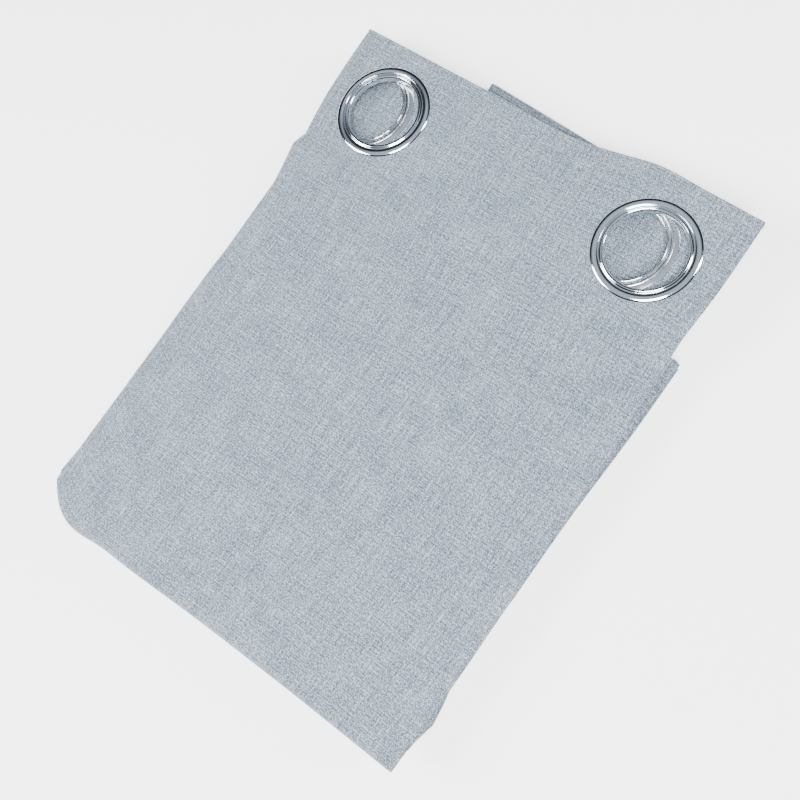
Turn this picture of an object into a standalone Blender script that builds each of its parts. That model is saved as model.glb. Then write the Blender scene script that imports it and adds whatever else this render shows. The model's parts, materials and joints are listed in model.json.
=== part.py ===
"""A folded curtain panel with eight press-in eyelets, lying flat as it comes out of its bag.

The panel is one cloth. It was folded in half with its side hems together, then twice more
across its width, and last in a concertina along its length. So every leaf of the concertina
is four cloths thick, and six over the stretch that the last widthwise fold covers. Each
widthwise fold falls between two eyelets, and the leaves under the header leaf stop short of
them, so that the header lies on the surface beside the stack.

X runs along the header, +Y from the bottom fold to the header, +Z up, in metres.
The origin is under the middle of the whole packet, on the surface that it lies on.
"""

import bmesh
import bpy
from math import atan, pi
from mathutils import Matrix, Vector

# The packet
HEADER_LEAF_LENGTH = 0.321
LOWER_LEAVES = 4
LOWER_LEAF_OVERHANG = 0.00275
PITCHES_PER_FOLD = 1.5
FOLD_TAKE_UP = 0.0035
SHORT_FOLD_SETBACK = 0.010
RIGHT_TURN_SETBACK = 0.015
LEFT_TURN_SETBACK = 0.001
HALF_FOLD_SHIFT = 0.012
FLAP_RISE = 0.004
FLAP_SLOPE = 0.062
DROP_LENGTH = 0.0119
DROP_GAP = 0.0002

# The cloth
CLOTH = 0.0004
PLY_PITCH = 0.00085
TAPE = 0.0003
CLEARANCE = 0.0002
LEAF_GAP = 0.0003
FLOOR_GAP = 0.0003

# The eyelets
EYELETS = 8
EYELET_PITCH = 0.164
SIDE_MARGIN = 0.040
TOP_MARGIN = 0.039
BORE_RADIUS = 0.020
BARREL_WALL = 0.0004
FLANGE_RADIUS = 0.027
FLANGE_RISE = 0.0015
FLANGE_CLEARANCE = 0.003
WASHER_SETBACK = 0.0006
WASHER_THICKNESS = 0.0004
CURL_WIDTH = 0.0011
CURL_THICKNESS = 0.00035
HEADER_SLOPE = 0.042
SEGMENTS = 32
WIDTH_STEPS = 8

# Worked out from the driving dimensions
PANEL_WIDTH = 2 * SIDE_MARGIN + (EYELETS - 1) * EYELET_PITCH
PACKET_WIDTH = PITCHES_PER_FOLD * EYELET_PITCH - FOLD_TAKE_UP
LOWER_LEAF_WIDTH = PACKET_WIDTH + 2 * LOWER_LEAF_OVERHANG
LAYER_OFFSET = TAPE / 2 + CLEARANCE + CLOTH / 2
PLY_HALF = LAYER_OFFSET + CLOTH / 2
FLANGE_SEAT = PLY_HALF + CLEARANCE
FLANGE_TOP = FLANGE_SEAT + FLANGE_RISE
WASHER_BACK = FLANGE_SEAT + WASHER_THICKNESS
CURL_SEAT = WASHER_BACK + CLEARANCE
CURL_BACK = CURL_SEAT + CURL_THICKNESS
BARREL_RADIUS = BORE_RADIUS + BARREL_WALL
HOLE_RADIUS = BARREL_RADIUS + LEAF_GAP
WASHER_RADIUS = FLANGE_RADIUS - WASHER_SETBACK
BACK_TO_BACK = 2 * CURL_BACK + CLEARANCE
FACE_TO_FACE = 2 * FLANGE_TOP + CLEARANCE

LEAF_HEIGHT = 6 * PLY_PITCH
BOTTOM = -(HEADER_LEAF_LENGTH + FLAP_RISE - LEAF_HEIGHT) / 2 - LEAF_HEIGHT
BOTTOM_CREASE = BOTTOM + LEAF_HEIGHT
SHORT_CREASE = BOTTOM_CREASE + SHORT_FOLD_SETBACK
HEADER_TOP = BOTTOM + HEADER_LEAF_LENGTH
EYELET_LINE = HEADER_TOP - TOP_MARGIN
DROP_END = EYELET_LINE - FLANGE_RADIUS - FLANGE_CLEARANCE
DROP_START = DROP_END - DROP_LENGTH
FAR_CREASE = DROP_START - DROP_GAP - LEAF_HEIGHT

FABRIC = ("linen_weave", (0.40, 0.46, 0.52, 1), 0.9, 0.0)
TAPE_FELT = ("header_tape", (0.80, 0.80, 0.78, 1), 0.95, 0.0)
CHROME = ("polished_chrome", (0.80, 0.82, 0.84, 1), 0.12, 1.0)


def clear_scene():
    for obj in list(bpy.data.objects):
        bpy.data.objects.remove(obj)


def material(finish):
    name, colour, roughness, metallic = finish
    found = bpy.data.materials.get(name)
    if found:
        return found
    made = bpy.data.materials.new(name)
    made.use_nodes = True
    shader = made.node_tree.nodes["Principled BSDF"]
    shader.inputs["Base Color"].default_value = colour
    shader.inputs["Roughness"].default_value = roughness
    shader.inputs["Metallic"].default_value = metallic
    return made


def new_object(name, mesh, finish):
    mesh.materials.append(material(finish))
    obj = bpy.data.objects.new(name, mesh)
    bpy.context.collection.objects.link(obj)
    return obj


def smooth_step(value, start, end):
    share = min(max((value - start) / (end - start), 0.0), 1.0)
    return share * share * (3 - 2 * share)


class Ply:
    """One thickness of the panel between two widthwise folds, and where its edges come."""

    def __init__(self, name, left, right, start, direction, order, face_up, flap=False):
        self.name = name
        self.left = left
        self.right = right
        self.start = start
        self.direction = direction
        self.order = order
        self.face = 1 if face_up else -1
        self.flap = flap

    def top_edge(self, x):
        if not self.flap:
            return HEADER_TOP
        return HEADER_TOP + FLAP_RISE - FLAP_SLOPE * (x - self.left)


def fold_half(names, hem, left_turn, length, faces_up):
    """Lay one half of the panel out from its side hem at the right, left, right and left again."""
    right_turn = PACKET_WIDTH / 2 - RIGHT_TURN_SETBACK
    first = hem - left_turn
    second = first + right_turn - left_turn
    half_fold = right_turn - (length - second)
    orders = (5, 2, 1) if faces_up[0] else (4, 3, 0)
    return [
        Ply(names[0], left_turn, hem, 0.0, -1, orders[0], faces_up[0]),
        Ply(names[1], left_turn, right_turn, first, 1, orders[1], faces_up[1]),
        Ply(names[2], half_fold, right_turn, second, -1, orders[2], faces_up[2], flap=True),
    ]


FRONT_HALF = fold_half(
    ("front_ply", "second_fold_lower", "third_fold_upper"),
    PACKET_WIDTH / 2,
    -PACKET_WIDTH / 2,
    (PANEL_WIDTH + HALF_FOLD_SHIFT) / 2,
    (True, False, True),
)
BACK_HALF = fold_half(
    ("back_ply", "second_fold_upper", "third_fold_lower"),
    PACKET_WIDTH / 2 - HALF_FOLD_SHIFT,
    -PACKET_WIDTH / 2 + LEFT_TURN_SETBACK,
    (PANEL_WIDTH - HALF_FOLD_SHIFT) / 2,
    (False, True, False),
)
PLIES = FRONT_HALF + BACK_HALF
HALF_FOLD = min(FRONT_HALF[2].left, BACK_HALF[2].left)


def eyelet_places():
    """For each eyelet from the front hem to the back hem, its ply and its distance along X."""
    places = []
    for number in range(EYELETS):
        along = SIDE_MARGIN + number * EYELET_PITCH
        half = FRONT_HALF if number < EYELETS // 2 else BACK_HALF
        if half is BACK_HALF:
            along = PANEL_WIDTH - along
        ply = [each for each in half if each.start <= along][-1]
        first_edge = ply.right if ply.direction < 0 else ply.left
        places.append((ply, first_edge + ply.direction * (along - ply.start)))
    return places


EYELET_PLACES = eyelet_places()


def body_level(order):
    """The mid height of a ply of the header leaf where it lies on the leaves below."""
    return LOWER_LEAVES * LEAF_HEIGHT + PLY_PITCH * (order + 0.5)


def header_level(order, x):
    """The mid height of a ply at the header, where the eyelets hold the plies apart."""
    lowest_eyelet = EYELET_PLACES[EYELETS // 2][1] - FLANGE_RADIUS
    lowest = max(
        FLOOR_GAP + PLY_HALF - HEADER_SLOPE * HALF_FOLD,
        FLOOR_GAP + FLANGE_TOP - HEADER_SLOPE * lowest_eyelet,
    )
    spreads = [BACK_TO_BACK, FACE_TO_FACE, BACK_TO_BACK, FACE_TO_FACE, BACK_TO_BACK]
    return lowest + sum(spreads[:order]) + HEADER_SLOPE * x


def header_share(y):
    return smooth_step(y, DROP_START, DROP_END)


def ply_level(order, x, y):
    share = header_share(y)
    return (1 - share) * body_level(order) + share * header_level(order, x)


def loft(name, stations, outline, finish):
    """A closed solid through the same outline at each X station, capped at both ends."""
    shape = bmesh.new()
    rings = [[shape.verts.new((x, y, z)) for y, z in outline(x)] for x in stations]
    for near, far in zip(rings, rings[1:]):
        for index, corner in enumerate(near):
            following = (index + 1) % len(near)
            shape.faces.new((corner, near[following], far[following], far[index]))
    shape.faces.new(rings[0])
    shape.faces.new(rings[-1])
    bmesh.ops.recalc_face_normals(shape, faces=shape.faces)
    mesh = bpy.data.meshes.new(name)
    shape.to_mesh(mesh)
    shape.free()
    return new_object(name, mesh, finish)


def lower_leaf(number):
    """A leaf of the concertina under the header leaf, between its two crease lines."""
    near = BOTTOM_CREASE if number == LOWER_LEAVES else SHORT_CREASE
    low = (number - 1) * LEAF_HEIGHT + (0.0 if number == 1 else LEAF_GAP / 2)
    high = number * LEAF_HEIGHT - LEAF_GAP / 2
    start = near + LEAF_GAP / 2
    end = FAR_CREASE - LEAF_GAP / 2
    corners = [(start, low), (start, high), (end, high), (end, low)]
    sides = [-LOWER_LEAF_WIDTH / 2, LOWER_LEAF_WIDTH / 2]
    return loft(f"lower_leaf_{number}", sides, lambda x: corners, FABRIC)


def drop_stations():
    """Y stations down the cloth, close together where the header plies spread."""
    steps = [DROP_START + (DROP_END - DROP_START) * step / 6 for step in range(7)]
    return [BOTTOM_CREASE + LEAF_GAP / 2] + steps


def header_ply(ply):
    """One ply of the header leaf, with its top edge turned down behind it as a deep hem."""

    def outline(x):
        top = ply.top_edge(x)

        def point(y, offset):
            return (y, ply_level(ply.order, x, min(y, HEADER_TOP)) + ply.face * offset)

        def face_layer(side):
            return [point(y, LAYER_OFFSET * header_share(y) + side) for y in drop_stations()]

        fold = [
            point(top, LAYER_OFFSET + CLOTH / 2),
            point(top, -LAYER_OFFSET - CLOTH / 2),
            point(DROP_END, -LAYER_OFFSET - CLOTH / 2),
            point(DROP_END, -LAYER_OFFSET + CLOTH / 2),
            point(top - CLOTH, -LAYER_OFFSET + CLOTH / 2),
            point(top - CLOTH, LAYER_OFFSET - CLOTH / 2),
        ]
        return face_layer(CLOTH / 2) + fold + face_layer(-CLOTH / 2)[::-1]

    width = ply.right - ply.left
    stations = [ply.left + width * step / WIDTH_STEPS for step in range(WIDTH_STEPS + 1)]
    return loft(ply.name, stations, outline, FABRIC)


def header_tape(ply):
    """The stiff strip inside the header hem of one ply."""

    def outline(x):
        top = ply.top_edge(x) - CLOTH - CLEARANCE
        level = [ply_level(ply.order, x, y) for y in (DROP_END, HEADER_TOP)]
        return [
            (DROP_END, level[0] - TAPE / 2),
            (top, level[1] - TAPE / 2),
            (top, level[1] + TAPE / 2),
            (DROP_END, level[0] + TAPE / 2),
        ]

    stations = [ply.left + CLEARANCE, ply.right - CLEARANCE]
    return loft(f"header_tape_{ply.name}", stations, outline, TAPE_FELT)


def eyelet_frame(ply, x):
    """The eyelet's own frame: its face side along its +Z, square to the header's slope."""
    place = Vector((x, EYELET_LINE, header_level(ply.order, x)))
    lean = Matrix.Rotation(-atan(HEADER_SLOPE), 4, "Y")
    turn = Matrix.Rotation(0.0 if ply.face > 0 else pi, 4, "X")
    return Matrix.Translation(place) @ lean @ turn


def turned(name, profile, finish):
    """A mesh turned round Z from a closed outline of (radius, height) points."""
    shape = bmesh.new()
    loop = [shape.verts.new((radius, 0, height)) for radius, height in profile]
    edges = [shape.edges.new((a, b)) for a, b in zip(loop, loop[1:] + loop[:1])]
    bmesh.ops.spin(
        shape, geom=loop + edges, axis=(0, 0, 1), angle=2 * pi, steps=SEGMENTS, use_merge=True
    )
    bmesh.ops.remove_doubles(shape, verts=shape.verts, dist=1e-6)
    bmesh.ops.recalc_face_normals(shape, faces=shape.faces)
    for face in shape.faces:
        face.smooth = True
    mesh = bpy.data.meshes.new(name)
    shape.to_mesh(mesh)
    shape.free()
    mesh.materials.append(material(finish))
    return mesh


def ring_profile():
    """Flange with a rounded crest, a groove and an inner lip, and a barrel curled at its end."""
    width = FLANGE_RADIUS - BORE_RADIUS
    crest = [(0.06, 0.72), (0.17, 0.94), (0.27, 0.76), (0.36, 0.74), (0.52, 0.97), (0.70, 1.0)]
    crest += [(0.87, 0.75), (0.97, 0.34)]
    over = [(BORE_RADIUS + width * out, FLANGE_SEAT + FLANGE_RISE * up) for out, up in crest]
    curl = BARREL_RADIUS + CURL_WIDTH
    return [
        (BORE_RADIUS, -CURL_BACK),
        (BORE_RADIUS, FLANGE_SEAT),
        *over,
        (FLANGE_RADIUS, FLANGE_SEAT),
        (BARREL_RADIUS, FLANGE_SEAT),
        (BARREL_RADIUS, -CURL_SEAT),
        (curl, -CURL_SEAT),
        (curl - CURL_THICKNESS / 2, -CURL_BACK),
    ]


def washer_profile():
    return [
        (HOLE_RADIUS, -FLANGE_SEAT),
        (WASHER_RADIUS, -FLANGE_SEAT),
        (WASHER_RADIUS - WASHER_THICKNESS / 2, -WASHER_BACK),
        (HOLE_RADIUS, -WASHER_BACK),
    ]


def punch(target, frame):
    """Cut one eyelet's hole through a ply or its tape."""
    shape = bmesh.new()
    bmesh.ops.create_cone(
        shape,
        cap_ends=True,
        segments=SEGMENTS,
        radius1=HOLE_RADIUS,
        radius2=HOLE_RADIUS,
        depth=4 * PLY_HALF,
    )
    mesh = bpy.data.meshes.new(f"punch_{target.name}")
    shape.to_mesh(mesh)
    shape.free()
    cutter = bpy.data.objects.new(mesh.name, mesh)
    cutter.matrix_world = frame
    cutter.hide_render = True
    cutter.display_type = "WIRE"
    bpy.context.collection.objects.link(cutter)
    cut = target.modifiers.new("eyelet hole", "BOOLEAN")
    cut.operation = "DIFFERENCE"
    cut.object = cutter


def build():
    clear_scene()
    for number in range(1, LOWER_LEAVES + 1):
        lower_leaf(number)
    cloths = {ply.name: (header_ply(ply), header_tape(ply)) for ply in PLIES}
    ring = turned("eyelet_ring", ring_profile(), CHROME)
    washer = turned("eyelet_washer", washer_profile(), CHROME)
    for number, (ply, x) in enumerate(EYELET_PLACES, 1):
        frame = eyelet_frame(ply, x)
        for name, mesh in (("eyelet_ring", ring), ("eyelet_washer", washer)):
            obj = bpy.data.objects.new(f"{name}_{number}", mesh)
            obj.matrix_world = frame
            bpy.context.collection.objects.link(obj)
        for cloth in cloths[ply.name]:
            punch(cloth, frame)


build()
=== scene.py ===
"""A folded eyelet curtain panel: linen-look cloth, header tapes and pressed chrome eyelets.

The panel is one cloth that is folded across its width and then in a concertina. Each
thickness of it, a ply, is made here from one path: down the header, along the header leaf,
round the bottom crease and back and forth through the leaves below. A ply is cut into one
piece for each crease.
"""

import json
from math import atan, atan2, cos, degrees, pi, sin

import bpy
import numpy as np
from mathutils import Matrix, Vector, noise


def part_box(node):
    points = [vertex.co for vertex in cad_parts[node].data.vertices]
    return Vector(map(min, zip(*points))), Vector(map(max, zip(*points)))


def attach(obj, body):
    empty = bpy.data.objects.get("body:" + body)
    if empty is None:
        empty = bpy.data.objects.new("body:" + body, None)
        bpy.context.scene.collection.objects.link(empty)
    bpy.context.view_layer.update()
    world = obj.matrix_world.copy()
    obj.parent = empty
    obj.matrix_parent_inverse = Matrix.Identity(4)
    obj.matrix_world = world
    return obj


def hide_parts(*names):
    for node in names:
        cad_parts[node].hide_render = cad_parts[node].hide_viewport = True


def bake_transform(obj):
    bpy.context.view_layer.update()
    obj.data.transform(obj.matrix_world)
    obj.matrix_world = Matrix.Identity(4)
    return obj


bl_info = {
    "name": "Folded Eyelet Curtain",
    "version": (1, 0, 0),
    "blender": (4, 5, 0),
    "location": "3D View > Sidebar > Curtain",
    "description": "Builds the cloth, header tapes and eyelets of a folded curtain panel",
    "category": "Add Mesh",
}

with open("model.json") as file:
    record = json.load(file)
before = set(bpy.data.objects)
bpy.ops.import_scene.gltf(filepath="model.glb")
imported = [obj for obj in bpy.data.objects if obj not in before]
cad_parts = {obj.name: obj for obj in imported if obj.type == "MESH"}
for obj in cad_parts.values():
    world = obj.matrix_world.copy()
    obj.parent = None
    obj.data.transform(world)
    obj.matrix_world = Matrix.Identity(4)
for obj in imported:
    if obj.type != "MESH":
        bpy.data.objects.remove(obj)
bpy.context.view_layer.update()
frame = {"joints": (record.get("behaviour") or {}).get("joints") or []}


# ---------------------------------------------------------------- sizes from the frame


def node_centre(node):
    low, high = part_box(node)
    return (low + high) / 2


CREASES = {number: frame["joints"][number - 1]["pos_m"] for number in range(1, 5)}
LEAF_HEIGHT = CREASES[1][2]
PLY_PITCH = LEAF_HEIGHT / 6
HEADER_LEAF = 5
FAR_CREASE = CREASES[1][1]
SHORT_CREASE = CREASES[2][1]
BOTTOM_CREASE = CREASES[4][1]
MID_LEAF = (FAR_CREASE + SHORT_CREASE) / 2
HEADER_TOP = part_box("front_ply")[1].y
RING_1, RING_2 = node_centre("eyelet_ring_1"), node_centre("eyelet_ring_2")
EYELET_LINE = RING_1.y
HEADER_SLOPE = (RING_1.z - RING_2.z) / (RING_1.x - RING_2.x)
FLANGE_RADIUS = (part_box("eyelet_ring_1")[1].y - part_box("eyelet_ring_1")[0].y) / 2

# The ply that holds each eyelet, in order along the panel.
EYELET_PLIES = (
    "front_ply",
    "front_ply",
    "second_fold_lower",
    "third_fold_upper",
    "third_fold_lower",
    "second_fold_upper",
    "back_ply",
    "back_ply",
)
# From the middle of a ply to the middle of the washer behind it, to the flange and to the curl.
WASHER_MIDDLE = 0.00115
FLANGE_SEAT = 0.00095
CURL_BACK = 0.0019

# The cloth in its folded state
CLOTH = 0.0004
LAYER_OFFSET = 0.00055
HEM_TURN = 0.005
FLANGE_CLEARANCE = 0.003
DROP_CLEARANCE = 0.0004
TURN_STEPS = 5
BEND_STEPS = 10
WIDEST_HEADER_TURN = 0.0035
EDGE_DROOP = 0.0025
HOLE_RADIUS = 0.0208
HOLE_DEPTH = 0.0044
HOLE_SIDES = 96
DROP_STEP = 0.0012
DROP_FOOT = 0.002
FREE_END_INSET = 0.0015
HEM_FADE = 0.02
# The top ply's piece at crease 4 ends this far past the crease, so that it holds its whole header.
BOTTOM_SEAM = 0.045

# How the lower leaves wander sideways: amount, change from leaf to leaf, and wavelength.
LEAF_WANDER = 0.0008
LEAF_WANDER_TURN = 2.1
LEAF_WANDER_LENGTH = 0.23

# The soft surface of the top ply: (scale along X, scale along Y, place in the noise) and height.
SWELL, SWELL_HEIGHT = (22, 15, 0.3), 0.0006
RIPPLE, RIPPLE_HEIGHT = (60, 45, 4.1), 0.00018
SOFT_LIFT = 0.0003
HEADER_SOFTNESS = 0.35
DROOP_WIDTH = 0.022
CREASE_EASE = (0.006, 0.035)

# The header tape, which peeps out of the open end of the front hem near the top
TAPE = 0.0003
TAPE_INSET = 0.0008
TAPE_TURN_INSET = 0.004
TAPE_PEEP = 0.0022
TAPE_PEEP_LENGTH = 0.007
TAPE_PEEP_FULL = 0.002
TAPE_ROWS, TAPE_COLUMNS = 16, 60

# Eyelets: how far each is turned from the one before, and the splits in its curl
EYELET_SPIN = 0.7
SPLIT_REACH = 0.0009
SPLIT_WOBBLE = 0.12
SPLIT_HALF_ANGLE = 4
SPLIT_PULL = 0.8


class Ply:
    """One thickness of the panel: its level, face side and the levels it turns to at its ends."""

    def __init__(self, name, level, face, left_to, right_to, along):
        self.name = name
        self.level = level
        self.face = face
        self.left_to = left_to
        self.right_to = right_to
        self.along = along
        low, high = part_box(name)
        self.left, self.right = low.x, high.x


PLIES = (
    Ply("front_ply", 5, 1, 2, None, 0.0),
    Ply("back_ply", 4, -1, 3, None, 1.3),
    Ply("second_fold_upper", 3, 1, 4, 0, 2.6),
    Ply("second_fold_lower", 2, -1, 5, 1, 3.9),
    Ply("third_fold_upper", 1, 1, 0, 2, 5.2),
    Ply("third_fold_lower", 0, -1, 1, 3, 6.5),
)
FACES = {ply.name: ply.face for ply in PLIES}


def header_levels():
    """The height at X = 0 of each ply's middle at the header, from the lowest ply up."""
    heights = {}
    for number, name in enumerate(EYELET_PLIES, 1):
        washer = node_centre(f"eyelet_washer_{number}")
        level = washer.z + FACES[name] * WASHER_MIDDLE - HEADER_SLOPE * washer.x
        heights[name] = level
    return [heights[ply.name] for ply in sorted(PLIES, key=lambda each: each.level)]


HEADER_LEVELS = header_levels()
DROP_END = EYELET_LINE - FLANGE_RADIUS - FLANGE_CLEARANCE
HEM_END = DROP_END - HEM_TURN


# ------------------------------------------------------------------- outline of the packet

# Across the packet as it lies, its sides wander a little: pairs of (Y, X) down each side.
HEADER_LEFT = ((-0.165, -0.1205), (-0.140, -0.1200), (-0.085, -0.1180), (-0.018, -0.1160),
               (0.050, -0.1132), (0.068, -0.1158), (0.085, -0.1190), (0.110, -0.1222),
               (0.130, -0.1230), (0.156, -0.1228))
HEADER_RIGHT = ((-0.165, 0.1187), (-0.140, 0.1191), (-0.120, 0.1200), (-0.060, 0.1206),
                (0.020, 0.1206), (0.080, 0.1190), (0.117, 0.1209), (0.156, 0.1211))
LOWER_LEFT = ((-0.168, -0.1272), (-0.157, -0.1262), (-0.140, -0.1245), (-0.085, -0.1222),
              (-0.018, -0.1203), (0.061, -0.1180), (0.080, -0.1175))
LOWER_RIGHT = ((-0.168, 0.1185), (-0.150, 0.1190), (-0.138, 0.1214), (-0.125, 0.1190),
               (-0.064, 0.1190), (-0.018, 0.1199), (0.030, 0.1226), (0.082, 0.1242))
# Its front top edge, and how far the bottom and far creases bow from their joints: (X, Y).
TOP_EDGE = ((-0.122, 0.1553), (-0.038, 0.1529), (0.031, 0.1517), (0.046, 0.1542),
            (0.061, 0.1569), (0.090, 0.1560), (0.121, 0.1547))
BOTTOM_BOW = ((-0.1215, 0.0115), (-0.1165, 0.0062), (-0.1110, 0.0012), (-0.1060, -0.0016),
              (-0.0700, -0.0018), (0.0, 0.0020), (0.0600, 0.0044), (0.1210, 0.0058))
FAR_BOW = ((-0.1200, -0.0040), (0.0, 0.0), (0.1030, 0.0036), (0.1075, 0.0044),
           (0.1120, 0.0085), (0.1160, 0.0112), (0.1185, 0.0110), (0.1213, 0.0100))
DROP_BOW = 0.0044
DROP_BOW_REACH = 0.12
INNER_TOP = 0.1503
FLAP_TOP = 0.1655
FLAP_FALL = 0.085


def follow(points, at):
    """Read a smooth line through (position, value) pairs."""
    places, values = np.array(points).T
    slopes = np.gradient(values, places)
    at = np.clip(at, places[0], places[-1])
    index = np.clip(np.searchsorted(places, at) - 1, 0, len(places) - 2)
    step = places[index + 1] - places[index]
    t = (at - places[index]) / step
    first, last = values[index], values[index + 1]
    rise = slopes[index] * step, slopes[index + 1] * step
    return (
        first * (2 * t**3 - 3 * t**2 + 1)
        + rise[0] * (t**3 - 2 * t**2 + t)
        + last * (3 * t**2 - 2 * t**3)
        + rise[1] * (t**3 - t**2)
    )


def smooth_step(value, start, end):
    share = np.clip((value - start) / (end - start), 0.0, 1.0)
    return share * share * (3 - 2 * share)


def bow(x, y):
    """How far a point of a leaf lies from its straight place, along Y."""
    bottom, far = follow(BOTTOM_BOW, x), follow(FAR_BOW, x)
    share = np.clip((y - BOTTOM_CREASE) / (FAR_CREASE - BOTTOM_CREASE), 0.0, 1.0)
    return bottom + (far - bottom) * share


def side_share(x):
    """0 at the left side of the packet as designed, 1 at its right side."""
    front = PLIES[0]
    return (x - front.left) / (front.right - front.left)


def side_place(x, y, left, right):
    share = side_share(x)
    return (1 - share) * follow(left, y) + share * follow(right, y)


def drop_share(x, y):
    reach = np.clip(x / DROP_BOW_REACH, 0, 1)
    start = FAR_CREASE + LEAF_HEIGHT + DROP_CLEARANCE + DROP_BOW * reach
    return smooth_step(y, start, DROP_END)


# ------------------------------------------------------------------------- path of a ply
# A station is one line across a ply: a function from (x, level) to a point.


def crease_distance(number, level):
    """How far a level of the fold lies from the plane between two leaves."""
    distance = PLY_PITCH * (level + 0.5)
    return distance if number % 2 == 0 else LEAF_HEIGHT - distance


def leaf_point(number, y, x, level):
    """A point on a leaf that lies flat: below the header leaf, or the header leaf itself."""
    x, level = np.broadcast_arrays(x, level)
    crease = number - 1 if number == HEADER_LEAF else number
    side = 1 if number == HEADER_LEAF else -1
    z = CREASES[crease][2] + side * crease_distance(crease, level)
    y = np.full(x.shape, y)
    if number != HEADER_LEAF:
        wave = np.sin(pi * (y - BOTTOM_CREASE) / LEAF_WANDER_LENGTH)
        wander = LEAF_WANDER * sin(LEAF_WANDER_TURN * number) * wave
        place = side_place(x, y, LOWER_LEFT, LOWER_RIGHT)
        return np.stack([place + wander, y + bow(x, y), z], -1)
    share = drop_share(x, y)
    header = np.interp(level, range(6), HEADER_LEVELS) + HEADER_SLOPE * x
    fade = np.clip((FAR_CREASE - y) / (FAR_CREASE - BOTTOM_CREASE), 0.0, 1.0)
    place = side_place(x, y, HEADER_LEFT, HEADER_RIGHT)
    return np.stack([place, y + fade * follow(BOTTOM_BOW, x), (1 - share) * z + share * header], -1)


def bend_point(number, angle, x, level):
    """A point on the bend at a crease: angle 0 on the leaf above, pi on the leaf below."""
    x, level = np.broadcast_arrays(x, level)
    _, crease_y, crease_z = CREASES[number]
    side = -1 if number % 2 == 0 else 1
    radius = crease_distance(number, level)
    y = crease_y + side * radius * sin(angle)
    z = crease_z + radius * cos(angle)
    lower = side_place(x, y, LOWER_LEFT, LOWER_RIGHT)
    upper = side_place(x, y, HEADER_LEFT, HEADER_RIGHT) if number == 4 else lower
    share = angle / pi
    shift = follow(BOTTOM_BOW, x) if side < 0 else follow(FAR_BOW, x)
    return np.stack([(1 - share) * upper + share * lower, y + shift, z], -1)


def top_edge(ply, x):
    if ply.level == 5:
        return follow(TOP_EDGE, x)
    if ply.level > 1:
        return np.full(np.shape(x), INNER_TOP)
    return FLAP_TOP - FLAP_FALL * (x - ply.left)


def header_stations(ply, step):
    """From the top edge down to the end of the drop."""
    count = max(int((HEADER_TOP - DROP_END) / step), 4)
    stations = []
    for share in np.linspace(1, 0, count + 1):

        def point(x, level, share=share):
            top = top_edge(ply, x)
            return leaf_point(HEADER_LEAF, DROP_END + (top - DROP_END) * share, x, level)

        stations.append(point)
    return stations


def leaf_stations(number, start, end, step):
    count = max(int(abs(end - start) / step), 2) + 1
    stations = []
    for y in np.linspace(start, end, count):
        stations.append(lambda x, level, y=y: leaf_point(number, y, x, level))
    return stations


def bend_stations(number):
    angles = np.linspace(0, pi, BEND_STEPS + 1)[1:-1]
    return [lambda x, level, a=a: bend_point(number, a, x, level) for a in angles]


def cross_section(ply, step):
    """Stations across a ply, from left to right: (x in the body, x in the header, level)."""

    def arc(edge, inward, partner):
        middle, half = (ply.level + partner) / 2, (ply.level - partner) / 2
        body = abs(half) * PLY_PITCH
        spread = np.interp([ply.level, partner], range(6), HEADER_LEVELS)
        header = min(abs(spread[0] - spread[1]) / 2, WIDEST_HEADER_TURN)
        rows = []
        for angle in np.linspace(0, pi / 2, TURN_STEPS + 1):
            back = 1 - cos(angle)
            rows.append((edge + inward * body * back, edge + inward * header * back,
                         middle + half * sin(angle)))
        return rows

    left = [(ply.left, ply.left, ply.level)]
    right = [(ply.right, ply.right, ply.level)]
    if ply.left_to is not None:
        left = arc(min(ply.left, half_fold_edge(ply)), 1, ply.left_to)
    if ply.right_to is not None:
        right = arc(ply.right, -1, ply.right_to)[::-1]
    shares = np.linspace(0, 1, max(int((ply.right - ply.left) / step), 3) + 1)[1:-1]
    first, last = np.array(left[-1]), np.array(right[0])
    flat = [tuple(first + (last - first) * share) for share in shares]
    return np.array(left + flat + right)


def half_fold_edge(ply):
    """The third fold's two plies share the outer edge of the half fold."""
    if ply.level > 1:
        return ply.left
    return min(each.left for each in PLIES if each.level < 2)


def surface(stations, section):
    """A grid of points: one row for each station, from left to right."""
    body_x, header_x, level = section.T
    rows = []
    for station in stations:
        probe = station(body_x, level)
        share = drop_share(body_x, probe[:, 1]) if probe[:, 1].min() > FAR_CREASE else 0.0
        rows.append(station(body_x + (header_x - body_x) * share, level))
    return np.array(rows)


def grid_normals(points):
    normals = np.cross(np.gradient(points, axis=1), np.gradient(points, axis=0))
    return normals / np.maximum(np.linalg.norm(normals, axis=2, keepdims=True), 1e-12)


def face_directions(points, face):
    """Unit vectors to the face side of a header, whose rows run down from its top edge."""
    normals = grid_normals(points)
    middle = normals[0, points.shape[1] // 2, 2]
    return normals * (face if middle > 0 else -face)


def turn_hem(ply, section, points, rows):
    """Lay the header's face layer over its hem layer, joined round the top edge."""
    header = points[:rows]
    facing = face_directions(points, ply.face)
    share = drop_share(section[:, 0], points[..., 1]) * (points[..., 2] > CREASES[4][2])
    last = np.argmax(share[:, -1] < HEM_FADE)
    share[last:] = 0
    face = points + facing * (LAYER_OFFSET * share)[..., None]
    hem_end = rows + int(np.argmax(points[rows:, -1, 1] < HEM_END))
    hem = (points[:hem_end] - facing[:hem_end] * LAYER_OFFSET)[::-1]
    up = header[0] - header[1]
    up = up / np.linalg.norm(up, axis=1, keepdims=True)
    lips = []
    for angle in (-pi / 4, 0, pi / 4):
        lips.append(header[0] + LAYER_OFFSET * (up * cos(angle) + facing[0] * sin(angle)))
    return np.concatenate([hem, lips, face]), len(hem) + len(lips)


# -------------------------------------------------------------------------- small helpers


def deselect_all():
    for obj in bpy.context.selected_objects:
        obj.select_set(False)


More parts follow.
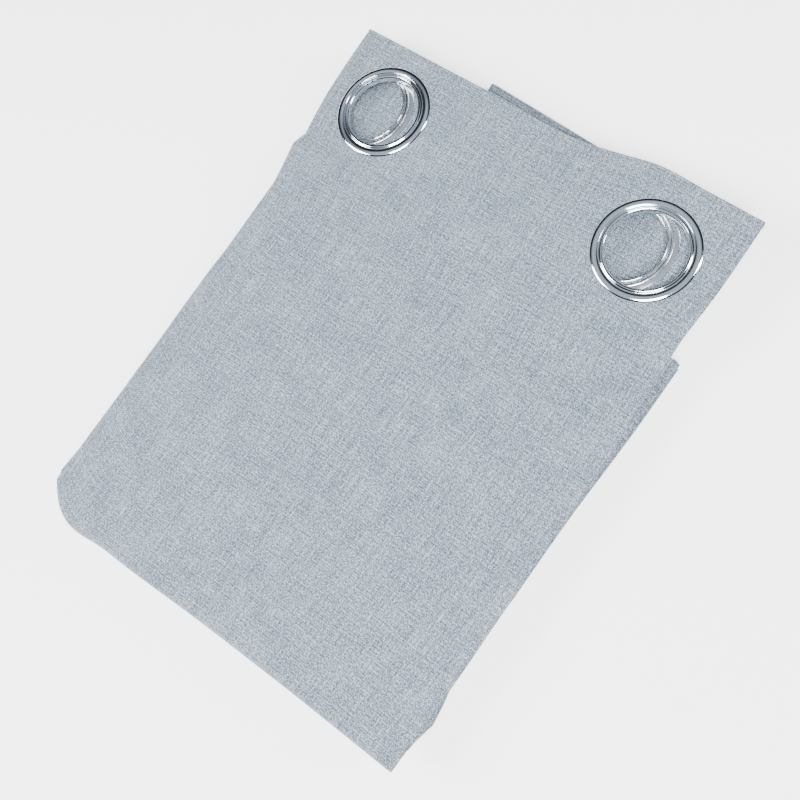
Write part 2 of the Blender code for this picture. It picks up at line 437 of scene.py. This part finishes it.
def make_active(obj):
    deselect_all()
    obj.select_set(True)
    bpy.context.view_layer.objects.active = obj


def sheet_mesh(name, middle, normals, thickness, along, across):
    """A closed thin sheet over a grid of points, with its own cloth coordinates in metres."""
    rows, columns = middle.shape[:2]
    face = (middle + normals * thickness / 2).reshape(-1, 3)
    back = (middle - normals * thickness / 2).reshape(-1, 3)
    count = rows * columns
    index = np.arange(count).reshape(rows, columns)
    quads = np.stack([index[:-1, :-1], index[:-1, 1:], index[1:, 1:], index[1:, :-1]], -1)
    quads = quads.reshape(-1, 4)
    border = np.concatenate([index[0, :], index[1:, -1], index[-1, -2::-1], index[-2:0:-1, 0]])
    following = np.roll(border, -1)
    walls = np.stack([following, border, border + count, following + count], -1)
    faces = np.concatenate([quads, quads[:, ::-1] + count, walls])
    first = quads[0]
    corner = face[first]
    turn = np.cross(corner[1] - corner[0], corner[3] - corner[0])
    if np.dot(turn, normals.reshape(-1, 3)[first[0]]) < 0:
        faces = faces[:, ::-1]
    mesh = bpy.data.meshes.new(name)
    mesh.from_pydata(np.concatenate([face, back]).tolist(), [], faces.tolist())
    layer = mesh.uv_layers.new(name="cloth")
    place = np.stack([across.ravel(), along.ravel()], -1)
    place = np.concatenate([place, place])
    loops = np.empty(len(mesh.loops), np.int32)
    mesh.loops.foreach_get("vertex_index", loops)
    layer.data.foreach_set("uv", place[loops].astype(np.float32).ravel())
    obj = bpy.data.objects.new(name, mesh)
    bpy.context.scene.collection.objects.link(obj)
    make_active(obj)
    bpy.ops.object.shade_smooth_by_angle(angle=pi / 4)
    return obj


def eyelet_frame(number):
    """Where an eyelet sits: its face side along +Z, square to the header's slope."""
    face = FACES[EYELET_PLIES[number - 1]]
    washer = node_centre(f"eyelet_washer_{number}")
    lean = Matrix.Rotation(-atan(HEADER_SLOPE), 4, "Y")
    turn = Matrix.Rotation(0.0 if face > 0 else pi, 4, "X")
    spin = Matrix.Rotation(EYELET_SPIN * number, 4, "Z")
    normal = (lean @ turn).to_3x3() @ Vector((0, 0, 1))
    return Matrix.Translation(washer + normal * WASHER_MIDDLE) @ lean @ turn @ spin


def punch_holes(obj, ply):
    """Cut the holes for a ply's eyelets through one of its pieces."""
    for number, name in enumerate(EYELET_PLIES, 1):
        if name != ply.name:
            continue
        deselect_all()
        bpy.ops.mesh.primitive_cylinder_add(
            vertices=HOLE_SIDES, radius=HOLE_RADIUS, depth=HOLE_DEPTH
        )
        cutter = bpy.context.object
        cutter.data.transform(eyelet_frame(number))
        cut = obj.modifiers.new("hole", "BOOLEAN")
        cut.object = cutter
        cut.solver = "EXACT"
        make_active(obj)
        bpy.ops.object.modifier_apply(modifier=cut.name)
        bpy.data.objects.remove(cutter)


def waves(x, y, pattern):
    """Smooth noise at each point of a grid."""
    scale_x, scale_y, place = pattern
    return np.array([
        [noise.noise(Vector((px * scale_x, py * scale_y, place))) for px, py in zip(*row)]
        for row in zip(x, y)
    ])


def soften(points, leaf_rows):
    """The top ply isn't quite flat: it swells softly and droops over its free side edge."""
    x, y = points[..., 0], points[..., 1]
    body = 1 - smooth_step(y, FAR_CREASE, DROP_END)
    away = smooth_step(y, BOTTOM_CREASE + CREASE_EASE[0], BOTTOM_CREASE + CREASE_EASE[1])
    droop = smooth_step(x, PLIES[0].right - DROOP_WIDTH, PLIES[0].right)
    lift = SWELL_HEIGHT * waves(x, y, SWELL) + RIPPLE_HEIGHT * waves(x, y, RIPPLE) + SOFT_LIFT
    softness = HEADER_SOFTNESS + (1 - HEADER_SOFTNESS) * body
    change = away * (lift * softness - EDGE_DROOP * body * droop)
    points[..., 2] += np.where(leaf_rows[:, None], change, 0.0)
    return points


# ------------------------------------------------------------------------------- materials


def new_material(name):
    made = bpy.data.materials.new(name)
    made.use_nodes = True
    made.node_tree.nodes.clear()
    return made


class Nodes:
    """Short names for building a node tree."""

    def __init__(self, made):
        self.tree = made.node_tree

    def add(self, kind, **settings):
        node = self.tree.nodes.new(kind)
        for key, value in settings.items():
            if hasattr(node, key):
                setattr(node, key, value)
            else:
                node.inputs[key.replace("_", " ").title()].default_value = value
        return node

    def link(self, output, target):
        self.tree.links.new(output, target)

    def maths(self, operation, first, second=0.0):
        node = self.add("ShaderNodeMath", operation=operation)
        for socket, value in zip(node.inputs, (first, second)):
            if isinstance(value, (int, float)):
                socket.default_value = value
            else:
                self.link(value, socket)
        return node.outputs[0]

    def noise(self, place, scale, detail=2.0, stretch=(1, 1, 1)):
        mapping = self.add("ShaderNodeMapping")
        mapping.inputs["Scale"].default_value = stretch
        self.link(place, mapping.inputs["Vector"])
        texture = self.add("ShaderNodeTexNoise")
        texture.inputs["Scale"].default_value = scale
        texture.inputs["Detail"].default_value = detail
        self.link(mapping.outputs[0], texture.inputs["Vector"])
        return texture.outputs["Fac"]

    def ramp(self, value, low, high, low_value=0.0, high_value=1.0):
        node = self.add("ShaderNodeMapRange", interpolation_type="SMOOTHSTEP")
        for name, number in (("From Min", low), ("From Max", high),
                             ("To Min", low_value), ("To Max", high_value)):
            node.inputs[name].default_value = number
        self.link(value, node.inputs["Value"])
        return node.outputs[0]

    def colours(self, value, stops):
        """A colour for each value, from two or more (position, colour) stops in order."""
        node = self.add("ShaderNodeValToRGB")
        elements = node.color_ramp.elements
        for element, (position, colour) in zip(elements, (stops[0], stops[-1])):
            element.position = position
            element.color = (*colour, 1)
        for position, colour in stops[1:-1]:
            elements.new(position).color = (*colour, 1)
        self.link(value, node.inputs[0])
        return node.outputs[0]

    def bump(self, height, strength, distance):
        node = self.add("ShaderNodeBump")
        node.inputs["Strength"].default_value = strength
        node.inputs["Distance"].default_value = distance
        self.link(height, node.inputs["Height"])
        return node.outputs[0]

    def output(self, shader):
        node = self.add("ShaderNodeOutputMaterial")
        self.link(shader.outputs[0], node.inputs[0])


def linen_material(cloth):
    """Plain weave in two directions, with slub yarns, uneven yarns and a soft mottle. The weave is
    also painted into the colour: painted light on the yarn crowns, painted shade between the yarns.
    """
    made = new_material("linen_weave")
    nodes = Nodes(made)
    place = nodes.add("ShaderNodeUVMap", uv_map="cloth").outputs[0]
    split = nodes.add("ShaderNodeSeparateXYZ")
    nodes.link(place, split.inputs[0])
    across, along = split.outputs[0], split.outputs[1]

    drift = nodes.maths("MULTIPLY", nodes.noise(place, 120, 2.0), 5.0)
    warp_turns = nodes.maths("MULTIPLY", across, 2 * pi / cloth.warp_pitch)
    weft_turns = nodes.maths("MULTIPLY", along, 2 * pi / cloth.weft_pitch)
    warp = nodes.maths("SINE", nodes.maths("ADD", warp_turns, drift))
    weft = nodes.maths("SINE", nodes.maths("ADD", weft_turns, drift))
    # These two weave patterns also go into the colour below as painted light where the yarns stand
    # high and painted shade between them; the first one is also the weave's bump height.
    weave_relief_and_shade = nodes.maths("MULTIPLY", warp, weft)
    painted_weave_shade = nodes.maths("MULTIPLY", nodes.maths("ADD", warp, weft), 0.5)

    warp_yarn = nodes.noise(place, 1.0, 2.0, (1 / 0.0011, 1 / 0.020, 1))
    weft_yarn = nodes.noise(place, 1.0, 2.0, (1 / 0.018, 1 / 0.0011, 1))
    warp_slub = nodes.ramp(nodes.noise(place, 1.0, 1.0, (1 / 0.0014, 1 / 0.012, 1)), 0.66, 0.80)
    weft_slub = nodes.ramp(nodes.noise(place, 1.0, 1.0, (1 / 0.010, 1 / 0.0014, 1)), 0.66, 0.80)
    mottle = nodes.noise(place, 38, 3.0)
    grain = nodes.noise(place, 950, 2.0)
    fibre = nodes.noise(place, 2200, 2.0)

    tone = nodes.maths("MULTIPLY", nodes.maths("SUBTRACT", warp_yarn, 0.5), 0.42)
    # The two weave terms here are painted light on the yarn crowns and painted shade between the
    # yarns; the other terms are yarns and mottle that differ at random.
    parts = ((weft_yarn, 0.5, 0.36), (mottle, 0.5, 0.13), (weave_relief_and_shade, 0.0, 0.16),
             (painted_weave_shade, 0.0, 0.10), (grain, 0.5, 1.15), (fibre, 0.5, 0.30))
    for value, centre, strength in parts:
        part = nodes.maths("MULTIPLY", nodes.maths("SUBTRACT", value, centre), strength)
        tone = nodes.maths("ADD", tone, part)
    slub = nodes.maths("MAXIMUM", warp_slub, weft_slub)
    tone = nodes.maths("ADD", tone, nodes.maths("MULTIPLY", slub, 0.20))
    tone = nodes.maths("ADD", tone, 0.5)

    # The darkest stop is partly darker random yarns and partly painted shade between the yarns.
    stops = ((0.25, cloth.shade_colour), (0.50, cloth.yarn_colour), (0.80, cloth.slub_colour))
    colour = nodes.colours(tone, stops)
    yarn_height = nodes.maths("MULTIPLY", weave_relief_and_shade, 0.5)
    height = nodes.maths("ADD", yarn_height, nodes.maths("MULTIPLY", tone, 1.6))

    shader = nodes.add("ShaderNodeBsdfPrincipled")
    shader.inputs["Roughness"].default_value = 0.92
    shader.inputs["Specular IOR Level"].default_value = 0.25
    shader.inputs["Sheen Weight"].default_value = 0.25
    shader.inputs["Sheen Roughness"].default_value = 0.5
    shader.inputs["Sheen Tint"].default_value = (0.85, 0.92, 1.0, 1)
    nodes.link(colour, shader.inputs["Base Color"])
    nodes.link(nodes.bump(height, 0.55, 0.00022), shader.inputs["Normal"])
    nodes.output(shader)
    return made


def tape_material(cloth):
    """Stiff non-woven felt: short tangled fibres, off-white."""
    made = new_material("header_tape")
    nodes = Nodes(made)
    place = nodes.add("ShaderNodeUVMap", uv_map="cloth").outputs[0]
    fibres = nodes.noise(place, 900, 4.0)
    clouds = nodes.noise(place, 120, 2.0)
    dense = nodes.maths("MULTIPLY", fibres, 0.6)
    value = nodes.maths("ADD", dense, nodes.maths("MULTIPLY", clouds, 0.4))
    shaded = [0.86 * part for part in cloth.tape_colour]
    colour = nodes.colours(value, ((0.3, shaded), (0.7, cloth.tape_colour)))
    shader = nodes.add("ShaderNodeBsdfPrincipled")
    shader.inputs["Roughness"].default_value = 0.95
    nodes.link(colour, shader.inputs["Base Color"])
    nodes.link(nodes.bump(fibres, 0.4, 0.0002), shader.inputs["Normal"])
    nodes.output(shader)
    return made


def chrome_material(name, colour, roughness):
    """Polished plating with small differences in its gloss."""
    made = new_material(name)
    nodes = Nodes(made)
    place = nodes.add("ShaderNodeTexCoord").outputs["Object"]
    gloss = nodes.ramp(nodes.noise(place, 160, 2.0), 0.3, 0.7, roughness * 0.8, roughness * 1.3)
    shader = nodes.add("ShaderNodeBsdfPrincipled")
    shader.inputs["Metallic"].default_value = 1.0
    shader.inputs["Base Color"].default_value = (*colour, 1)
    nodes.link(gloss, shader.inputs["Roughness"])
    nodes.output(shader)
    return made


# ------------------------------------------------------------------------------ properties


class ClothSettings(bpy.types.PropertyGroup):
    """Sizes and colours of the cloth and its header tape."""

    warp_pitch: bpy.props.FloatProperty(
        name="Warp pitch", description="Distance between the yarns across the panel",
        default=0.00121, min=0.0002, unit="LENGTH", precision=5)
    weft_pitch: bpy.props.FloatProperty(
        name="Weft pitch", description="Distance between the yarns down the panel",
        default=0.00131, min=0.0002, unit="LENGTH", precision=5)
    # The darkest cloth colour: partly darker random yarns, partly painted shade between the yarns.
    shade_colour: bpy.props.FloatVectorProperty(
        name="Shade", description="Colour between the yarns", subtype="COLOR",
        default=(0.048, 0.068, 0.092))
    yarn_colour: bpy.props.FloatVectorProperty(
        name="Yarn", description="Colour of most of the yarns", subtype="COLOR",
        default=(0.132, 0.164, 0.199))
    slub_colour: bpy.props.FloatVectorProperty(
        name="Slub", description="Colour of the thick pale yarns", subtype="COLOR",
        default=(0.350, 0.402, 0.450))
    tape_colour: bpy.props.FloatVectorProperty(
        name="Tape", description="Colour of the stiff header tape", subtype="COLOR",
        default=(0.80, 0.79, 0.77))
    fine_step: bpy.props.FloatProperty(
        name="Fine step", description="Mesh size of the top ply", default=0.003, unit="LENGTH")
    step: bpy.props.FloatProperty(
        name="Step", description="Mesh size of the plies below", default=0.009, unit="LENGTH")


class EyeletSettings(bpy.types.PropertyGroup):
    """Sizes and finish of the pressed eyelets, each in its own ring and washer."""

    bore_radius: bpy.props.FloatProperty(
        name="Bore radius", description="Inside of the barrel", default=0.0200, unit="LENGTH")
    wall: bpy.props.FloatProperty(
        name="Wall", description="Thickness of the barrel",
        default=0.0004, unit="LENGTH", precision=5)
    flange_rise: bpy.props.FloatProperty(
        name="Flange rise", description="Height of the flange over the cloth",
        default=0.0015, unit="LENGTH", precision=5)
    segments: bpy.props.IntProperty(
        name="Segments", description="Sides round one eyelet", default=120, min=24)
    splits: bpy.props.IntProperty(
        name="Splits", description="Splits that the press leaves in the curled edge", default=7)
    chrome_colour: bpy.props.FloatVectorProperty(
        name="Plating", description="Colour of the plating", subtype="COLOR",
        default=(0.78, 0.82, 0.86))
    roughness: bpy.props.FloatProperty(
        name="Roughness", description="Gloss of the plating", default=0.10, min=0.0, max=1.0)


class StageSettings(bpy.types.PropertyGroup):
    """Camera, floor and lights."""

    lens: bpy.props.FloatProperty(
        name="Lens", description="Focal length", default=38.25, unit="CAMERA")
    floor_colour: bpy.props.FloatVectorProperty(
        name="Floor", description="Colour of the floor", subtype="COLOR",
        default=(0.97, 0.97, 0.97))


# -------------------------------------------------------------------------------- operators


def ply_runs(ply, cloth):
    """All stations of a ply in order, with the rows that end its header, drop and pieces."""
    step = cloth.fine_step if ply.level == 5 else cloth.step
    foot = FAR_CREASE - DROP_FOOT
    stations = header_stations(ply, step)
    header_end = len(stations)
    stations += leaf_stations(HEADER_LEAF, DROP_END, foot, DROP_STEP)[1:]
    drop_end = len(stations)
    stations += leaf_stations(HEADER_LEAF, foot, BOTTOM_CREASE, step)[1:]
    leaf_end = len(stations)
    cuts = {}
    for number in range(4, 0, -1):
        stations += bend_stations(number)
        start = CREASES[number][1]
        end = CREASES[number - 1][1] if number > 1 else SHORT_CREASE + FREE_END_INSET
        seam = BOTTOM_CREASE + BOTTOM_SEAM if number == 4 else MID_LEAF
        stations += leaf_stations(number, start, seam, cloth.step)
        cuts[number] = len(stations) - 1
        stations += leaf_stations(number, seam, end, cloth.step)[1:]
    return stations, header_end, drop_end, leaf_end, cuts


def make_ply(ply, cloth, finish):
    """The ply's pieces: its header where it drops, and one piece for each crease."""
    stations, header_end, drop_end, leaf_end, cuts = ply_runs(ply, cloth)
    section = cross_section(ply, cloth.fine_step if ply.level == 5 else cloth.step)
    points = surface(stations, section)
    if ply.level == 5:
        points = soften(points, np.arange(len(stations)) < leaf_end)
    points, added = turn_hem(ply, section, points, header_end)
    flat_start = drop_end + added - 1
    cuts = {number: row + added for number, row in cuts.items()}
    normals = grid_normals(points)
    steps = np.linalg.norm(np.diff(points, axis=0), axis=2).mean(axis=1)
    along = np.repeat(np.concatenate([[0], np.cumsum(steps)])[:, None], points.shape[1], 1)
    widths = np.linalg.norm(np.diff(points, axis=1), axis=2).mean(axis=0)
    across = np.repeat(np.concatenate([[0], np.cumsum(widths)])[None, :], points.shape[0], 0)
    across = across + ply.along

    def piece(name, first, last):
        rows = slice(first, last + 1)
        obj = sheet_mesh(name, points[rows], normals[rows], CLOTH, along[rows], across[rows])
        if first == 0:
            punch_holes(obj, ply)
        obj.data.materials.append(finish)
        return obj

    made = {}
    start = 0
    if ply.level != 5:
        made["header"] = piece(f"{ply.name}_header_cloth", 0, flat_start)
        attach(made["header"], "header_leaf")
        start = flat_start
    for number in range(4, 0, -1):
        end = cuts[number] if number > 1 else len(points) - 1
        obj = piece(f"{ply.name}_cloth_{number}", start, end)
        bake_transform(obj)
        made[number] = obj
        start = end
    return made


class CURTAIN_OT_cloth(bpy.types.Operator):
    """Build the panel's cloth, ply by ply, from its folded path"""

    bl_idname = "curtain.cloth"
    bl_label = "Cloth"

    def execute(self, context):
        cloth = context.scene.curtain_cloth
        finish = linen_material(cloth)
        for ply in PLIES:
            made = make_ply(ply, cloth, finish)
            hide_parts(ply.name)
            if ply.level == 5:
                for number in range(1, 5):
                    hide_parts(f"lower_leaf_{number}")
        return {"FINISHED"}


class CURTAIN_OT_tapes(bpy.types.Operator):
    """Build the stiff tapes inside the header hem"""

    bl_idname = "curtain.tapes"
    bl_label = "Header tapes"

    def execute(self, context):
        finish = tape_material(context.scene.curtain_cloth)
        for ply in PLIES:
            make_tape(ply, finish)
        return {"FINISHED"}


def make_tape(ply, finish):
    """A strip between the two layers of the hem. The front one peeps out of the hem's open end."""
    left = ply.left + (TAPE_TURN_INSET if ply.left_to is not None else TAPE_INSET)
    right = ply.right - (TAPE_TURN_INSET if ply.right_to is not None else TAPE_INSET)
    x = np.linspace(left, right, TAPE_COLUMNS)
    shares = np.linspace(0, 1, TAPE_ROWS)
    rows = []
    for share in shares[::-1]:
        top = top_edge(ply, x) - TAPE_INSET
        rows.append(leaf_point(HEADER_LEAF, DROP_END + (top - DROP_END) * share, x, ply.level))
    points = np.array(rows)
    if ply.level == 5:
        points = soften(points, np.ones(len(shares), bool))
        start, full = HEADER_TOP - TAPE_PEEP_LENGTH, HEADER_TOP - TAPE_PEEP_FULL
        near_top = smooth_step(points[:, -1, 1], start, full)
        points[:, -1, 0] += (TAPE_PEEP + TAPE_INSET) * near_top
    normals = face_directions(points, ply.face)
    along = np.repeat(np.linspace(0, HEADER_TOP - DROP_END, len(shares))[:, None], len(x), 1)
    across = np.repeat(x[None, :], len(shares), 0)
    name = f"header_tape_{ply.name}"
    obj = sheet_mesh(f"{name}_strip", points, normals, TAPE, along, across)
    punch_holes(obj, ply)
    obj.data.materials.append(finish)
    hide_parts(name)
    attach(obj, "header_leaf")


def arc_points(centre, radius, start, end, count):
    """Points on an arc in the plane of (radius, height), with angles in degrees."""
    rows = []
    for angle in np.linspace(start, end, count) * pi / 180:
        rows.append((centre[0] + radius[0] * cos(angle), centre[1] + radius[1] * sin(angle)))
    return rows


def ring_outline(eyelet):
    """The pressed section: rolled rim, crest, groove, inner lip, barrel and curled back edge."""
    bore, wall, rise = eyelet.bore_radius, eyelet.wall, eyelet.flange_rise
    outer = FLANGE_RADIUS
    crest = (outer - 0.0024, FLANGE_SEAT)
    lip = (bore + 0.00125, FLANGE_SEAT)
    groove = FLANGE_SEAT + 0.50 * rise
    top = [(outer, FLANGE_SEAT - 0.0001)]
    top += arc_points(crest, (0.0024, rise), 0, 126, 18)
    top += arc_points((bore + 0.00255, groove + 0.00022), (0.00050, 0.00026), -20, -160, 7)
    top += arc_points(lip, (0.00085, rise * 0.86), 60, 120, 6)
    top += arc_points((bore + 0.0011, FLANGE_SEAT + 0.0004), (0.0011, 0.0009), 130, 180, 5)
    barrel = [(bore, 0.0004), (bore, -CURL_BACK + 0.0006)]
    curl = arc_points((bore + 0.00060, -CURL_BACK + 0.00055), (0.00060, 0.00055), 180, 360, 12)
    inside = [(bore + 0.0010, -CURL_BACK + 0.00075), (bore + wall + 0.0001, -CURL_BACK + 0.0007),
              (bore + wall, 0.0), (bore + wall, FLANGE_SEAT), (outer - 0.0004, FLANGE_SEAT)]
    return top + barrel + curl + inside


def washer_outline(eyelet):
    inner, outer = eyelet.bore_radius + 0.0007, FLANGE_RADIUS - 0.0006
    back, front = -FLANGE_SEAT - 0.0004, -FLANGE_SEAT
    rim = arc_points((outer - 0.0002, (back + front) / 2), (0.0002, 0.0002), -90, 90, 5)
    rib = arc_points((inner + 0.0022, back), (0.0009, 0.0004), 180, 360, 9)
    return [(inner, front), (inner, back)] + rib + rim


def spun_piece(name, outline, segments):
    """Extrude one corner of a plane round the outline, join its ends and spin it."""
    deselect_all()
    radius, height = outline[0]
    bpy.ops.mesh.primitive_plane_add(size=0.001, location=(radius, 0, height))
    obj = bpy.context.object
    obj.name = name
    obj.data.name = name
    bpy.ops.object.transform_apply(location=True)
    bpy.ops.object.mode_set(mode="EDIT")
    bpy.ops.mesh.select_all(action="SELECT")
    bpy.ops.mesh.merge(type="CENTER")
    for here, there in zip(outline, outline[1:]):
        step = (there[0] - here[0], 0, there[1] - here[1])
        bpy.ops.mesh.extrude_region_move(TRANSFORM_OT_translate={"value": step})
    bpy.ops.object.mode_set(mode="OBJECT")
    for vertex in obj.data.vertices:
        vertex.select = vertex.index in (0, len(outline) - 1)
    bpy.ops.object.mode_set(mode="EDIT")
    bpy.ops.mesh.edge_face_add()
    bpy.ops.mesh.select_all(action="SELECT")
    bpy.ops.mesh.spin(steps=segments, angle=2 * pi, center=(0, 0, 0), axis=(0, 0, 1))
    bpy.ops.mesh.select_all(action="SELECT")
    bpy.ops.mesh.remove_doubles(threshold=2e-6)
    bpy.ops.mesh.normals_make_consistent(inside=False)
    bpy.ops.object.mode_set(mode="OBJECT")
    bpy.ops.object.shade_smooth_by_angle(angle=pi / 5)
    return obj


def split_curl(obj, eyelet):
    """Press small splits into the curled back edge, unevenly spaced as a press leaves them."""
    barrel = eyelet.bore_radius + eyelet.wall
    for vertex in obj.data.vertices:
        x, y, z = vertex.co
        radius = (x * x + y * y) ** 0.5
        if z > -CURL_BACK + SPLIT_REACH or radius < barrel:
            continue
        turn = (degrees(atan2(y, x)) % 360) / 360 * eyelet.splits
        uneven = turn + SPLIT_WOBBLE * sin(3 * turn)
        gap = abs(uneven - round(uneven)) * 360 / eyelet.splits
        if gap < SPLIT_HALF_ANGLE:
            pull = SPLIT_PULL * (1 - gap / SPLIT_HALF_ANGLE) * (radius - barrel)
            vertex.co.x -= x / radius * pull
            vertex.co.y -= y / radius * pull


class CURTAIN_OT_eyelets(bpy.types.Operator):
    """Model one eyelet ring and one washer, and set a copy of each in every place"""

    bl_idname = "curtain.eyelets"
    bl_label = "Eyelets"

    def execute(self, context):
        eyelet = context.scene.curtain_eyelets
        chrome = chrome_material("eyelet_chrome", eyelet.chrome_colour, eyelet.roughness)
        plain = chrome_material("washer_plate", [0.9 * c for c in eyelet.chrome_colour], 0.22)
        ring = spun_piece("ring_pattern", ring_outline(eyelet), eyelet.segments)
        split_curl(ring, eyelet)
        washer = spun_piece("washer_pattern", washer_outline(eyelet), eyelet.segments)
        for number in range(1, len(EYELET_PLIES) + 1):
            where = eyelet_frame(number)
            for kind, pattern, finish in (("ring", ring, chrome), ("washer", washer, plain)):
                mesh = pattern.data.copy()
                mesh.transform(where)
                obj = bpy.data.objects.new(f"chrome_{kind}_{number}", mesh)
                context.scene.collection.objects.link(obj)
                mesh.materials.append(finish)
                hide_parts(f"eyelet_{kind}_{number}")
                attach(obj, "header_leaf")
        for pattern in (ring, washer):
            bpy.data.objects.remove(pattern)
        return {"FINISHED"}


def area_light(name, place, target, size, power, colour):
    data = bpy.data.lights.new(name, "AREA")
    data.shape = "RECTANGLE"
    data.size, data.size_y = size
    data.energy = power
    data.color = colour
    obj = bpy.data.objects.new(name, data)
    obj.location = place
    obj.rotation_euler = (Vector(target) - Vector(place)).to_track_quat("-Z", "Y").to_euler()
    bpy.context.scene.collection.objects.link(obj)


# The camera in the frame of the packet: where it stands, and its right and down directions.
CAMERA_PLACE = (0.15038, -0.01561, 0.43723)
CAMERA_RIGHT = (0.79109, 0.56124, -0.24326)
CAMERA_DOWN = (0.53134, -0.82753, -0.18131)


class CURTAIN_OT_stage(bpy.types.Operator):
    """Set the camera, the pale floor and the soft lights"""

    bl_idname = "curtain.stage"
    bl_label = "Stage"

    def execute(self, context):
        stage = context.scene.curtain_stage
        right = Vector(CAMERA_RIGHT).normalized()
        up = -(Vector(CAMERA_DOWN) - Vector(CAMERA_DOWN).dot(right) * right).normalized()
        back = right.cross(up)
        data = bpy.data.cameras.new("camera")
        data.lens = stage.lens
        data.sensor_width = 36
        camera = bpy.data.objects.new("camera", data)
        turn = Matrix((right, up, back)).transposed().to_4x4()
        camera.matrix_world = Matrix.Translation(CAMERA_PLACE) @ turn
        data.clip_start = 0.01
        context.scene.collection.objects.link(camera)
        context.scene.camera = camera

        deselect_all()
        bpy.ops.mesh.primitive_plane_add(size=40, location=(0, 0, 0))
        floor = context.object
        floor.name = "floor"
        paint = new_material("pale_floor")
        nodes = Nodes(paint)
        shader = nodes.add("ShaderNodeBsdfPrincipled")
        shader.inputs["Base Color"].default_value = (*stage.floor_colour, 1)
        shader.inputs["Roughness"].default_value = 0.9
        shader.inputs["Specular IOR Level"].default_value = 0.1
        shader.inputs["Emission Color"].default_value = (1, 1, 1, 1)
        shader.inputs["Emission Strength"].default_value = 1.0
        nodes.output(shader)
        floor.data.materials.append(paint)

        area_light("key", (-0.75, -0.55, 0.85), (0, 0, 0), (0.6, 0.6), 28, (1.0, 1.0, 1.0))
        area_light("top", (0.45, -0.35, 1.2), (0, 0, 0), (0.6, 0.6), 46, (1.0, 1.0, 1.0))
        area_light("rim", (0.9, 0.7, 0.6), (0, 0, 0), (0.25, 0.8), 18, (1.0, 1.0, 1.0))

        world = bpy.data.worlds.new("studio")
        world.use_nodes = True
        backdrop = world.node_tree.nodes["Background"]
        backdrop.inputs["Color"].default_value = (0.60, 0.68, 0.78, 1)
        sky = Nodes(world)
        height = sky.add("ShaderNodeSeparateXYZ")
        sky.link(sky.add("ShaderNodeTexCoord").outputs["Generated"], height.inputs[0])
        horizon = sky.ramp(height.outputs[2], 0.05, 0.13, 1.0, 0.0)
        overhead = sky.ramp(height.outputs[2], 0.68, 0.92, 0.04, 0.95)
        sky.link(sky.maths("ADD", horizon, overhead), backdrop.inputs["Strength"])
        context.scene.world = world
        return {"FINISHED"}


class CURTAIN_PT_panel(bpy.types.Panel):
    """Sizes and steps of the folded curtain"""

    bl_idname = "CURTAIN_PT_panel"
    bl_label = "Folded Curtain"
    bl_space_type = "VIEW_3D"
    bl_region_type = "UI"
    bl_category = "Curtain"

    def draw(self, context):
        groups = (
            (context.scene.curtain_stage, (CURTAIN_OT_stage,)),
            (context.scene.curtain_cloth, (CURTAIN_OT_cloth, CURTAIN_OT_tapes)),
            (context.scene.curtain_eyelets, (CURTAIN_OT_eyelets,)),
        )
        for settings, steps in groups:
            box = self.layout.box()
            for name in settings.__annotations__:
                box.prop(settings, name)
            for step in steps:
                box.operator(step.bl_idname)


CLASSES = (
    ClothSettings,
    EyeletSettings,
    StageSettings,
    CURTAIN_OT_cloth,
    CURTAIN_OT_tapes,
    CURTAIN_OT_eyelets,
    CURTAIN_OT_stage,
    CURTAIN_PT_panel,
)


def register():
    for each in CLASSES:
        bpy.utils.register_class(each)
    bpy.types.Scene.curtain_cloth = bpy.props.PointerProperty(type=ClothSettings)
    bpy.types.Scene.curtain_eyelets = bpy.props.PointerProperty(type=EyeletSettings)
    bpy.types.Scene.curtain_stage = bpy.props.PointerProperty(type=StageSettings)


def unregister():
    for name in ("curtain_cloth", "curtain_eyelets", "curtain_stage"):
        delattr(bpy.types.Scene, name)
    for each in reversed(CLASSES):
        bpy.utils.unregister_class(each)


def main():
    register()
    bpy.ops.curtain.stage()
    bpy.ops.curtain.cloth()
    bpy.ops.curtain.tapes()
    bpy.ops.curtain.eyelets()


if __name__ == "__main__":
    main()
